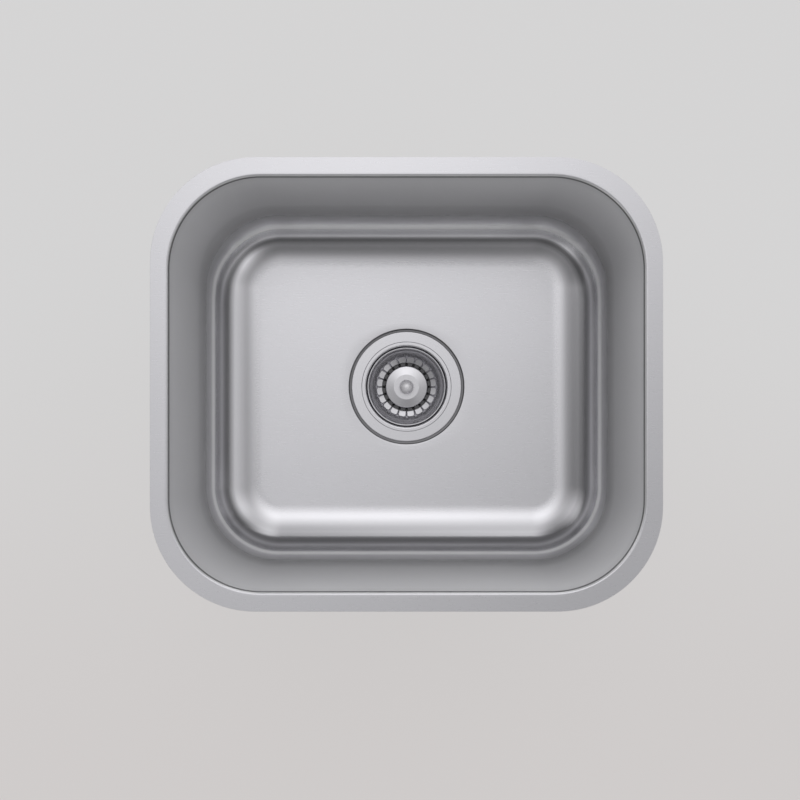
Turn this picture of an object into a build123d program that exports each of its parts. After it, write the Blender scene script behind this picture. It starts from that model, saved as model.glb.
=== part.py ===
"""An undermount kitchen sink: a pressed steel bowl with its basket strainer, drain fittings and pads.

Millimetres, +Z up. The origin is the centre of the bowl's opening, on the flange's top face.
The drain's pieces are turned parts. Their sections are drawn as (radius, height above the bowl's floor).
"""

import math
import os

from build123d import *

os.makedirs("parts", exist_ok=True)

# Bowl
SHEET = 1.2
FLANGE_LENGTH = 438
FLANGE_WIDTH = 388
FLANGE_CORNER = 90
OPENING_LENGTH = 407
OPENING_WIDTH = 355
OPENING_CORNER = 79
DEPTH = 178
DRAFT = 2.5
FLOOR_RADIUS = 54
RIM_ROLL = 2.5
UNDERSIDE_RADIUS = 1.3

# Drain opening in the bowl's floor
RECESS_R = 57.3
RECESS_DEPTH = 2.2
RECESS_EDGE = 1.0
HOLE_R = 44.5

# Strainer body, and what clamps it to the floor
BODY_SHEET = 1.2
BODY_FLANGE_R = 55
LEDGE_R = 44.9
LEDGE_DROP = 0.4
BODY_BORE_R = 40.3
SHOULDER_H = -20
THROAT_R = 36.5
SEAT_H = -42
OUTLET_R = 20
NECK_R = 23.4
NECK_TOP = -46
NECK_END = -60
SEAL_THICKNESS = RECESS_DEPTH - BODY_SHEET
GASKET_THICKNESS = 3
FIBRE_THICKNESS = 1.2
LOCKNUT_HEIGHT = 12
LOCKNUT_FLANGE_R = 56
LOCKNUT_HUB_R = 48
LOCKNUT_LUGS = 6

# Spider and its grip
SPIDER_TOP = -50
SPIDER_THICKNESS = 3
SPIDER_HUB_R = 7
SPIDER_ARM = 3
GRIP_R = 4.6
GRIP_BORE_R = 3.1

# Outlet fittings
WASHER_THICKNESS = 2
TAIL_R = 19.05
TAIL_WALL = 0.95
TAIL_LIP = 1
TAIL_END = -160
NUT_ACROSS_FLATS = 55
NUT_TOP = -50
NUT_CLEARANCE = 1.2

# Basket
BASKET_SHEET = 0.7
BASKET_FLOOR = -31.5
BASKET_RIM_R = 38.6
BASKET_RIM_H = -5
RIM_TUBE_R = 1.1
TROUGH_FLOOR = -33
TROUGH_INNER_R = 21.5
TROUGH_OUTER_R = 24.9
FLUTES = 20
FLUTE_FOOT = -31.2
FLUTE_SLOPE = 17.5
FLUTE_HEIGHT = 10
FLUTE_END_R = 30.8
FLUTE_CORNER = 2
RIDGE_WIDTH = 1
DRAIN_HOLE_R = 1.25
DRAIN_HOLE_CIRCLE_R = 23.1

# Cap, knob and post
CAP_SHEET = 0.8
CAP_R = 21
CAP_EDGE_H = -30.6
CAP_CONE_R = 12.8
CAP_TOP_H = -28.9
BALL_R = 7
BALL_H = -19
NECK_BASE_R = 5
KNOB_NECK_R = 4.2
POST_R = 3
POST_TOP = -17
POST_END = -65
POST_CLEARANCE = 0.06
GROOVE_HEIGHTS = (-51.5, -59.5)
GROOVE_DEPTH = 0.4
GROOVE_WIDTH = 1

# Stopper stack below the basket
BUSH_R = 5
BUSH_FLANGE_R = 10
BUSH_FLANGE_TOP = -36
STACK_GAP = 0.1
STOPPER_R = 23
STOPPER_HUB_R = 15
STOPPER_THICKNESS = 4
BACKING_R = 12
BACKING_THICKNESS = 1
POST_NUT_FLATS = 10
POST_NUT_HEIGHT = 4

# Sound pads
PAD_THICKNESS = 3
PAD_CORNER = 8
WALL_PAD_HEIGHT = 70
WALL_PAD_MIDDLE = -80
LONG_WALL_PAD = 220
SHORT_WALL_PAD = 170
FLOOR_PAD_WIDTH = 67
FLOOR_PAD_LENGTH = 190
FLOOR_PAD_X = 101.5

SECTION = Plane(origin=(0, 0, -DEPTH), x_dir=(1, 0, 0), z_dir=(0, -1, 0))
DOWNWARD = Plane(origin=(0, 0, 0), x_dir=(1, 0, 0), z_dir=(0, 0, -1))


def level(height):
    """The horizontal plane at this height above the bowl's floor."""
    return Plane.XY.offset(height - DEPTH)


def finish(piece, name):
    """Label a finished piece and write it under its own name."""
    piece.part.label = name
    export_step(piece.part, f"parts/{name}.step")


# The bowl: a drafted, round-cornered pressing with a flat flange and a recess for the drain
wall_thickness = SHEET / math.cos(math.radians(DRAFT))

with BuildPart() as cavity:
    with BuildSketch(DOWNWARD):
        RectangleRounded(OPENING_LENGTH, OPENING_WIDTH, OPENING_CORNER)
    extrude(amount=DEPTH, taper=DRAFT)
    fillet(cavity.faces().sort_by(Axis.Z)[0].edges(), FLOOR_RADIUS)

with BuildPart() as bowl:
    with BuildSketch(DOWNWARD):
        RectangleRounded(
            OPENING_LENGTH + 2 * wall_thickness,
            OPENING_WIDTH + 2 * wall_thickness,
            OPENING_CORNER + wall_thickness,
        )
    extrude(amount=DEPTH + SHEET, taper=DRAFT)
    fillet(bowl.faces().sort_by(Axis.Z)[0].edges(), FLOOR_RADIUS + SHEET)
    with BuildSketch(DOWNWARD):
        RectangleRounded(FLANGE_LENGTH, FLANGE_WIDTH, FLANGE_CORNER)
    extrude(amount=SHEET)
    flange_underside = bowl.faces().filter_by(Plane.XY).filter_by_position(Axis.Z, -SHEET, -SHEET)[0]
    fillet(flange_underside.inner_wires()[0].edges(), UNDERSIDE_RADIUS)
    with BuildSketch(level(-SHEET)):
        Circle(RECESS_R + SHEET)
    extrude(amount=-RECESS_DEPTH)
    add(cavity.part, mode=Mode.SUBTRACT)
    flange_top = bowl.faces().sort_by(Axis.Z)[-1]
    fillet(flange_top.inner_wires()[0].edges(), RIM_ROLL)
    with BuildSketch(level(0)):
        Circle(RECESS_R)
    extrude(amount=-RECESS_DEPTH, mode=Mode.SUBTRACT)
    recess_edge = bowl.edges().filter_by(GeomType.CIRCLE).filter_by_position(Axis.Z, -DEPTH, -DEPTH)
    fillet(recess_edge, RECESS_EDGE)
    with BuildSketch(level(-RECESS_DEPTH)):
        Circle(HOLE_R)
    extrude(amount=-2 * SHEET, mode=Mode.SUBTRACT)
finish(bowl, "bowl")

# The strainer body: a pressed cup whose flange lies in the recess, with a thickened outlet neck
with BuildPart() as strainer_body:
    with BuildSketch(SECTION):
        with BuildLine():
            FilletPolyline(
                (BODY_FLANGE_R, 0),
                (LEDGE_R, 0),
                (LEDGE_R - LEDGE_DROP, -LEDGE_DROP),
                (BODY_BORE_R, -LEDGE_DROP),
                (BODY_BORE_R, SHOULDER_H),
                (THROAT_R, SHOULDER_H - 4),
                (THROAT_R - 2, SEAT_H),
                (OUTLET_R, SEAT_H),
                (OUTLET_R, NECK_END),
                radius=(0, 0, 1.5, 2, 3, 4, 1),
            )
            offset(amount=BODY_SHEET, side=Side.LEFT, closed=True)
        make_face()
        with Locations(((OUTLET_R + NECK_R) / 2, (NECK_TOP + NECK_END) / 2)):
            Rectangle(NECK_R - OUTLET_R, NECK_TOP - NECK_END)
    revolve(axis=Axis.Z)
finish(strainer_body, "strainer_body")

# Plain rings of the clamped joints: (name, inner radius, outer radius, top, thickness)
gasket_top = -RECESS_DEPTH - SHEET
fibre_top = gasket_top - GASKET_THICKNESS
locknut_top = fibre_top - FIBRE_THICKNESS
RINGS = (
    ("flange_seal", LEDGE_R + 0.7, BODY_FLANGE_R - 1, -BODY_SHEET, SEAL_THICKNESS),
    ("drain_gasket", BODY_BORE_R + 1.4, RECESS_R - 0.3, gasket_top, GASKET_THICKNESS),
    ("friction_washer", BODY_BORE_R + 1.6, LOCKNUT_FLANGE_R, fibre_top, FIBRE_THICKNESS),
    ("outlet_washer", TAIL_R + 0.15, NECK_R - 0.4, NECK_END, WASHER_THICKNESS),
)
for name, inner, outer, top, thickness in RINGS:
    with BuildPart() as ring:
        with BuildSketch(level(top)):
            Circle(outer)
            Circle(inner, mode=Mode.SUBTRACT)
        extrude(amount=-thickness)
    finish(ring, name)

# The locknut: a threaded hub under a thin flange, with lugs for a spanner
with BuildPart() as locknut:
    with BuildSketch(level(locknut_top)):
        Circle(LOCKNUT_FLANGE_R)
    extrude(amount=-2)
    with BuildSketch(level(locknut_top)):
        Circle(LOCKNUT_HUB_R)
        with PolarLocations(LOCKNUT_HUB_R + 4, LOCKNUT_LUGS):
            RectangleRounded(15, 9, 1.5)
    extrude(amount=-LOCKNUT_HEIGHT)
    with BuildSketch(level(locknut_top)):
        Circle(BODY_BORE_R + BODY_SHEET + 0.1)
    extrude(amount=-LOCKNUT_HEIGHT, mode=Mode.SUBTRACT)
    chamfer(locknut.faces().sort_by(Axis.Z)[0].edges(), 0.6)
finish(locknut, "locknut")

# The spider across the outlet, and the grip that snaps into its hub
with BuildPart() as spider:
    with BuildSketch(level(SPIDER_TOP)):
        Circle(SPIDER_HUB_R)
        Rectangle(2 * NECK_R, SPIDER_ARM)
        Rectangle(SPIDER_ARM, 2 * NECK_R)
        Circle(OUTLET_R, mode=Mode.INTERSECT)
        Circle(GRIP_R, mode=Mode.SUBTRACT)
    extrude(amount=-SPIDER_THICKNESS)
finish(spider, "spider")

with BuildPart() as post_grip:
    with BuildSketch(level(SPIDER_TOP + 1)):
        Circle(GRIP_R + 0.9)
    extrude(amount=-1)
    with BuildSketch(level(SPIDER_TOP)):
        Circle(GRIP_R)
    extrude(amount=-SPIDER_THICKNESS - 1)
    with BuildSketch(level(SPIDER_TOP + 1)):
        Circle(GRIP_BORE_R)
    extrude(amount=-SPIDER_THICKNESS - 2, mode=Mode.SUBTRACT)
finish(post_grip, "post_grip")

# The tailpiece hangs from its lip, which the slip nut draws up against the outlet washer
lip_top = NECK_END - WASHER_THICKNESS
nut_ledge = lip_top - TAIL_LIP

with BuildPart() as tailpiece:
    with BuildSketch(level(lip_top)):
        Circle(NECK_R - 0.6)
    extrude(amount=-TAIL_LIP)
    with BuildSketch(level(lip_top)):
        Circle(TAIL_R)
    extrude(amount=TAIL_END - lip_top)
    with BuildSketch(level(lip_top)):
        Circle(TAIL_R - TAIL_WALL)
    extrude(amount=TAIL_END - lip_top, mode=Mode.SUBTRACT)
finish(tailpiece, "tailpiece")

with BuildPart() as slip_nut:
    with BuildSketch(level(NUT_TOP)):
        RegularPolygon(NUT_ACROSS_FLATS / 2, 6, major_radius=False)
    extrude(amount=nut_ledge - NUT_TOP)
    with BuildSketch(level(nut_ledge)):
        Circle(NUT_ACROSS_FLATS / 2 - 1)
    extrude(amount=-2)
    with BuildSketch(level(NUT_TOP)):
        Circle(NECK_R + 0.1)
    extrude(amount=nut_ledge - NUT_TOP, mode=Mode.SUBTRACT)
    with BuildSketch(level(nut_ledge)):
        Circle(TAIL_R + NUT_CLEARANCE)
    extrude(amount=-2, mode=Mode.SUBTRACT)
    chamfer(slip_nut.faces().sort_by(Axis.Z)[-1].outer_wire().edges(), 1)
finish(slip_nut, "slip_nut")

# The basket: a cup with a trough round its floor and flutes above the trough, all one sheet thick
CUP_WALL = (
    (37.6, BASKET_RIM_H + 0.4),
    (36.4, -10),
    (34.7, -12),
    (31, -24),
    (TROUGH_OUTER_R, FLUTE_FOOT),
    (TROUGH_OUTER_R, TROUGH_FLOOR),
    (TROUGH_INNER_R, TROUGH_FLOOR),
    (TROUGH_INNER_R, BASKET_FLOOR),
    (0, BASKET_FLOOR),
)
CUP_BENDS = (2, 2, 4, 0.9, 0.4, 0.4, 0.8)


def flute_space(growth):
    """The space in the flutes: wide lobes with thin ridges between them, over a floor that rises outward."""
    half_sector = math.radians(180 / FLUTES)
    start_r = TROUGH_OUTER_R - 1
    end_r = FLUTE_END_R + growth
    slack = RIDGE_WIDTH / 2 / math.cos(half_sector) - growth
    foot = FLUTE_FOOT - growth
    slope = math.tan(math.radians(FLUTE_SLOPE))
    with BuildSketch() as lobe:
        with BuildLine():
            Polyline(
                (start_r, start_r * math.tan(half_sector) - slack),
                (end_r, end_r * math.tan(half_sector) - slack),
                (end_r, slack - end_r * math.tan(half_sector)),
                (start_r, slack - start_r * math.tan(half_sector)),
                close=True,
            )
        make_face()
        fillet(lobe.vertices().group_by(Axis.X)[-1], FLUTE_CORNER + growth)
    with BuildPart() as space:
        with BuildSketch(level(foot)):
            with PolarLocations(0, FLUTES, start_angle=180 / FLUTES):
                add(lobe.sketch)
        extrude(amount=FLUTE_HEIGHT)
        with BuildSketch(SECTION):
            with BuildLine():
                Polyline(
                    (start_r - 1, foot + (start_r - 1 - TROUGH_OUTER_R) * slope),
                    (end_r + 1, foot + (end_r + 1 - TROUGH_OUTER_R) * slope),
                    (end_r + 1, foot + 2 * FLUTE_HEIGHT),
                    (start_r - 1, foot + 2 * FLUTE_HEIGHT),
                    close=True,
                )
            make_face()
        revolve(axis=Axis.Z, mode=Mode.INTERSECT)
    return space.part


flutes_outside = flute_space(BASKET_SHEET)
flutes_inside = flute_space(0)

with BuildPart() as basket:
    with BuildSketch(SECTION):
        with BuildLine():
            FilletPolyline(*CUP_WALL, radius=CUP_BENDS)
            offset(amount=BASKET_SHEET, side=Side.LEFT, closed=True)
        make_face()
        with BuildLine():
            FilletPolyline(*CUP_WALL, radius=CUP_BENDS)
            Polyline(CUP_WALL[-1], (0, CUP_WALL[0][1]), CUP_WALL[0])
        make_face()
    revolve(axis=Axis.Z)
    add(flutes_outside)
    with BuildSketch(SECTION):
        with BuildLine():
            FilletPolyline(*CUP_WALL, radius=CUP_BENDS)
            Polyline(CUP_WALL[-1], (0, CUP_WALL[0][1]), CUP_WALL[0])
        make_face()
    revolve(axis=Axis.Z, mode=Mode.SUBTRACT)
    add(flutes_inside, mode=Mode.SUBTRACT)
    with BuildSketch(SECTION):
        with Locations((BASKET_RIM_R, BASKET_RIM_H)):
            Circle(RIM_TUBE_R)
    revolve(axis=Axis.Z)
    with BuildSketch(level(FLUTE_FOOT)):
        Circle(POST_R + POST_CLEARANCE)
        with PolarLocations(DRAIN_HOLE_CIRCLE_R, FLUTES):
            Circle(DRAIN_HOLE_R)
    extrude(amount=TROUGH_FLOOR - 2 * BASKET_SHEET - FLUTE_FOOT, mode=Mode.SUBTRACT)
finish(basket, "basket")

# The cap over the basket's floor: a shallow cone standing on its turned-down edge
with BuildPart() as dome_cap:
    with BuildSketch(SECTION):
        with BuildLine():
            FilletPolyline(
                (0, CAP_TOP_H),
                (CAP_CONE_R, CAP_TOP_H),
                (CAP_R, CAP_EDGE_H),
                (CAP_R, BASKET_FLOOR),
                radius=(1, 0.4),
            )
            offset(amount=CAP_SHEET, side=Side.RIGHT, closed=True)
        make_face()
    revolve(axis=Axis.Z)
    with BuildSketch(level(CAP_TOP_H)):
        Circle(POST_R + POST_CLEARANCE)
    extrude(amount=-CAP_SHEET, mode=Mode.SUBTRACT)
finish(dome_cap, "dome_cap")

# The knob: a ball on a waisted neck, bored for the post
with BuildPart() as knob:
    with BuildSketch(level(CAP_TOP_H)):
        Circle(NECK_BASE_R)
    extrude(amount=0.8)
    with BuildSketch(level(CAP_TOP_H)):
        Circle(KNOB_NECK_R)
    extrude(amount=BALL_H - CAP_TOP_H)
    with Locations((0, 0, BALL_H - DEPTH)):
        Sphere(BALL_R)
    neck_top = BALL_H - math.sqrt(BALL_R**2 - KNOB_NECK_R**2) - DEPTH
    fillet(knob.edges().filter_by_position(Axis.Z, neck_top - 0.1, neck_top + 0.1), 0.8)
    with BuildSketch(level(CAP_TOP_H)):
        Circle(POST_R + POST_CLEARANCE)
    extrude(amount=POST_TOP - CAP_TOP_H, mode=Mode.SUBTRACT)
finish(knob, "knob")

# The post: a pin with two detent grooves and a tapered end
with BuildPart() as post:
    with BuildSketch(level(POST_TOP)):
        Circle(POST_R)
    extrude(amount=POST_END - POST_TOP)
    chamfer(post.faces().sort_by(Axis.Z)[0].edges(), length=3, length2=1.4)
    with BuildSketch(SECTION):
        with Locations(*[(POST_R, height) for height in GROOVE_HEIGHTS]):
            Rectangle(2 * GROOVE_DEPTH, GROOVE_WIDTH)
    revolve(axis=Axis.Z, mode=Mode.SUBTRACT)
finish(post, "post")

# Below the basket: the flanged bush, the stopper, its backing washer and the nut
stopper_top = BUSH_FLANGE_TOP - BACKING_THICKNESS - STACK_GAP
stopper_bottom = stopper_top - STOPPER_THICKNESS
backing_top = stopper_bottom - STACK_GAP
backing_bottom = backing_top - BACKING_THICKNESS

with BuildPart() as bush:
    with BuildSketch(level(BASKET_FLOOR - BASKET_SHEET)):
        Circle(BUSH_R)
    extrude(amount=backing_top - BASKET_FLOOR + BASKET_SHEET)
    with BuildSketch(level(BUSH_FLANGE_TOP)):
        Circle(BUSH_FLANGE_R)
    extrude(amount=-BACKING_THICKNESS)
    with BuildSketch(level(BASKET_FLOOR - BASKET_SHEET)):
        Circle(POST_R + POST_CLEARANCE)
    extrude(amount=backing_top - BASKET_FLOOR + BASKET_SHEET, mode=Mode.SUBTRACT)
finish(bush, "bush")

with BuildPart() as stopper:
    with BuildSketch(SECTION):
        with BuildLine():
            FilletPolyline(
                (BUSH_R + STACK_GAP, stopper_bottom),
                (BUSH_R + STACK_GAP, stopper_top),
                (STOPPER_HUB_R, stopper_top),
                (STOPPER_R, SEAT_H + 2.2),
                (STOPPER_R, SEAT_H),
                (STOPPER_R - 2, SEAT_H),
                (STOPPER_HUB_R, stopper_bottom),
                radius=(0, 0, 2, 0.8, 0, 0, 0),
                close=True,
            )
        make_face()
    revolve(axis=Axis.Z)
finish(stopper, "stopper")

with BuildPart() as backing_washer:
    with BuildSketch(level(backing_top)):
        Circle(BACKING_R)
        Circle(POST_R + POST_CLEARANCE, mode=Mode.SUBTRACT)
    extrude(amount=-BACKING_THICKNESS)
finish(backing_washer, "backing_washer")

with BuildPart() as post_nut:
    with BuildSketch(level(backing_bottom)):
        RegularPolygon(POST_NUT_FLATS / 2, 6, major_radius=False)
        Circle(POST_R + POST_CLEARANCE, mode=Mode.SUBTRACT)
    extrude(amount=-POST_NUT_HEIGHT)
    with BuildSketch(level(backing_bottom)):
        Circle(POST_NUT_FLATS / 2 * 1.1)
    extrude(amount=-POST_NUT_HEIGHT, mode=Mode.INTERSECT)
finish(post_nut, "post_nut")

# Sound pads glued to the outside of the drafted walls: (name, heading of the wall, distance, length)
front_wall = OPENING_WIDTH / 2 + wall_thickness
side_wall = OPENING_LENGTH / 2 + wall_thickness
WALL_PADS = (
    ("pad_wall_right", 0, side_wall, SHORT_WALL_PAD),
    ("pad_wall_back", 90, front_wall, LONG_WALL_PAD),
    ("pad_wall_left", 180, side_wall, SHORT_WALL_PAD),
    ("pad_wall_front", 270, front_wall, LONG_WALL_PAD),
)
lean = math.radians(DRAFT)
for name, heading, distance, length in WALL_PADS:
    turn = math.radians(heading)
    outward = Vector(math.cos(turn), math.sin(turn), 0)
    along = Vector(-math.sin(turn), math.cos(turn), 0)
    normal = outward * math.cos(lean) - Vector(0, 0, math.sin(lean))
    wall_face = Plane(origin=outward * distance, x_dir=along, z_dir=normal)
    with BuildPart() as pad:
        with BuildSketch(wall_face):
            with Locations((0, WALL_PAD_MIDDLE)):
                RectangleRounded(length, WALL_PAD_HEIGHT, PAD_CORNER)
        extrude(amount=PAD_THICKNESS)
    finish(pad, name)

# Sound pads glued under the floor, one each side of the drain
for name, side in (("pad_floor_left", -1), ("pad_floor_right", 1)):
    with BuildPart() as pad:
        with BuildSketch(level(-SHEET)):
            with Locations((side * FLOOR_PAD_X, 0)):
                RectangleRounded(FLOOR_PAD_WIDTH, FLOOR_PAD_LENGTH, PAD_CORNER)
        extrude(amount=-PAD_THICKNESS)
    finish(pad, name)
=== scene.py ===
"""An undermount kitchen sink in satin stainless steel, seen from straight above on a pale ground."""

import math

import bpy
import numpy as np
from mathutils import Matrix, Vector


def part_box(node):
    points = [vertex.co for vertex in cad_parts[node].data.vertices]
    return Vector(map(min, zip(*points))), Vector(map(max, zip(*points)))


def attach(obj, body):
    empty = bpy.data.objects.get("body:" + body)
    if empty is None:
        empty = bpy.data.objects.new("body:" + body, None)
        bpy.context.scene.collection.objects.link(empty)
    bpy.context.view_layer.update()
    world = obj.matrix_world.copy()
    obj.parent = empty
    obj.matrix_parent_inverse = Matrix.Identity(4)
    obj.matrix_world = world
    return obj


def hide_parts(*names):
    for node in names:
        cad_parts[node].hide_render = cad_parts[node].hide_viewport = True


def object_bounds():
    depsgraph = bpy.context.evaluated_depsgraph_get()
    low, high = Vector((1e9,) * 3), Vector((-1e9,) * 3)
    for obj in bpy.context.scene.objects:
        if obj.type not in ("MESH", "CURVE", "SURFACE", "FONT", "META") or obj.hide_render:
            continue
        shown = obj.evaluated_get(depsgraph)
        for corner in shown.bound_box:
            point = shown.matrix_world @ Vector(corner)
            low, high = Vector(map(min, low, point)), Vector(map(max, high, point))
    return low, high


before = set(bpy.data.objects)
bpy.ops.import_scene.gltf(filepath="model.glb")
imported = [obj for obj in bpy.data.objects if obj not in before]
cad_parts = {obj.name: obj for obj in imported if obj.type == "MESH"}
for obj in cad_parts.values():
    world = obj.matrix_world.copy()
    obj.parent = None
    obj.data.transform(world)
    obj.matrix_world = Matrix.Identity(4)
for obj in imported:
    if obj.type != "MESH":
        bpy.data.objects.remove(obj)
cad_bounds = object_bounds()

MM = 0.001

# Sizes of the pressing, in millimetres, as the part has them
bowl_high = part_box("bowl")[1]
FLANGE_HALF_X = bowl_high[0] / MM
FLANGE_HALF_Y = bowl_high[1] / MM
FLANGE_CORNER = 90
SHEET = 1.2
OPENING_HALF_X = 203.5
OPENING_HALF_Y = 177.5
OPENING_CORNER = 79
DEPTH = 178
DRAFT = math.radians(2.5)
FLOOR_RADIUS = 54
RIM_ROLL = 2.5
RECESS_R = 57.3
RECESS_DEPTH = 2.2
RECESS_EDGE = 1.0
HOLE_R = 44.5
EDGE_ROUND = 0.1


# Mesh helpers. A section is a list of points (radius, height); a mesh is a stack of rings that go round

def arc(centre, radius, start, end, steps):
    """Points along an arc of a section, from one angle to another in degrees."""
    angles = np.radians(np.linspace(start, end, steps + 1))
    return [(centre[0] + radius * math.cos(a), centre[1] + radius * math.sin(a)) for a in angles]


def run(start, end, steps):
    """Points along a straight run of a section, both ends included."""
    return [
        (start[0] + (end[0] - start[0]) * t, start[1] + (end[1] - start[1]) * t)
        for t in np.linspace(0, 1, steps + 1)
    ]


def bent(corners):
    """A section from corners (radius, height, bend). Each bend is an arc, held by a point on either side."""
    points = []
    for number, (radius, height, bend) in enumerate(corners):
        if bend == 0:
            points.append((radius, height))
            continue
        corner = np.array((radius, height), float)
        back = np.array(corners[number - 1][:2], float) - corner
        ahead = np.array(corners[(number + 1) % len(corners)][:2], float) - corner
        room = min(np.linalg.norm(back), np.linalg.norm(ahead))
        back /= np.linalg.norm(back)
        ahead /= np.linalg.norm(ahead)
        half = math.acos(np.clip(back @ ahead, -1, 1)) / 2
        reach = bend / math.tan(half)
        centre = corner + (back + ahead) / np.linalg.norm(back + ahead) * bend / math.sin(half)
        first, last = corner + back * reach, corner + ahead * reach
        start = math.degrees(math.atan2(first[1] - centre[1], first[0] - centre[0]))
        end = math.degrees(math.atan2(last[1] - centre[1], last[0] - centre[0]))
        turn = (end - start + 180) % 360 - 180
        hold = min(0.5 * bend, max(0.02, 0.4 * (room - reach)))
        points.append(tuple(first + back * hold))
        points += arc(centre, bend, start, start + turn, max(3, math.ceil(abs(turn) / 12)))
        points.append(tuple(last + ahead * hold))
    return points


def ring_faces(rings, around, closed):
    """Quads between rings of points; the last ring joins the first where the surface is closed."""
    faces = []
    for ring in range(rings if closed else rings - 1):
        following = (ring + 1) % rings
        for point in range(around):
            beside = (point + 1) % around
            faces.append((
                ring * around + point,
                ring * around + beside,
                following * around + beside,
                following * around + point,
            ))
    return faces


def outward(points, faces):
    """The same faces, all turned over if they face into the solid."""
    corners = np.array(points)
    thirds = np.array([(face[0], face[k], face[k + 1]) for face in faces for k in range(1, len(face) - 1)])
    first, second, third = (corners[thirds[:, column]] for column in range(3))
    volume = np.sum(first * np.cross(second, third))
    return faces if volume > 0 else [face[::-1] for face in faces]


def add_piece(name, points, faces, material, body, replaced):
    """A smooth piece from points in millimetres, which rides on its body and stands for a CAD node."""
    used = sorted({corner for face in faces for corner in face})
    place_of = dict(zip(used, range(len(used))))
    points = [points[corner] for corner in used]
    faces = [[place_of[corner] for corner in face] for face in faces]
    mesh = bpy.data.meshes.new(name)
    mesh.from_pydata([(x * MM, y * MM, z * MM) for x, y, z in points], [], outward(points, faces))
    mesh.shade_smooth()
    mesh.materials.append(material)
    piece = bpy.data.objects.new(name, mesh)
    bpy.context.scene.collection.objects.link(piece)
    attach(piece, body)
    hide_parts(replaced)
    return piece


def turned(section, around, closed=True, relief=None):
    """A turned solid about the drain's axis, from a section with its heights above the bowl's floor.

    Relief moves points along the radius. An open section begins and ends on the axis.
    """
    angles = np.arange(around) * 2 * math.pi / around
    sleeve = section if closed else section[1:-1]
    points = []
    for radius, height in sleeve:
        reach = radius + (relief(radius, height, angles) if relief else 0 * angles)
        points += [(r * math.cos(a), r * math.sin(a), height - DEPTH) for r, a in zip(reach, angles)]
    faces = ring_faces(len(sleeve), around, closed)
    if not closed:
        last = (len(sleeve) - 1) * around
        points += [(0, 0, section[0][1] - DEPTH), (0, 0, section[-1][1] - DEPTH)]
        for point in range(around):
            beside = (point + 1) % around
            faces.append((len(points) - 2, beside, point))
            faces.append((len(points) - 1, last + point, last + beside))
    return points, faces


# Bowl

CORNER_STEPS = 36
SIDE_STEPS = 20


def rounded_ring(half_x, half_y, corner, height):
    """A level ring of four corner arcs and the straight sides between them."""
    reach_x, reach_y = half_x - corner, half_y - corner
    corners = ((reach_x, reach_y), (-reach_x, reach_y), (-reach_x, -reach_y), (reach_x, -reach_y))
    ring = []
    for quarter, centre in enumerate(corners):
        bend = arc(centre, corner, 90 * quarter, 90 * quarter + 90, CORNER_STEPS)
        onward = corners[(quarter + 1) % 4]
        side_end = (bend[-1][0] + onward[0] - centre[0], bend[-1][1] + onward[1] - centre[1])
        ring += bend[:-1] + run(bend[-1], side_end, SIDE_STEPS)[:-1]
    return [(x, y, height) for x, y in ring]


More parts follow.
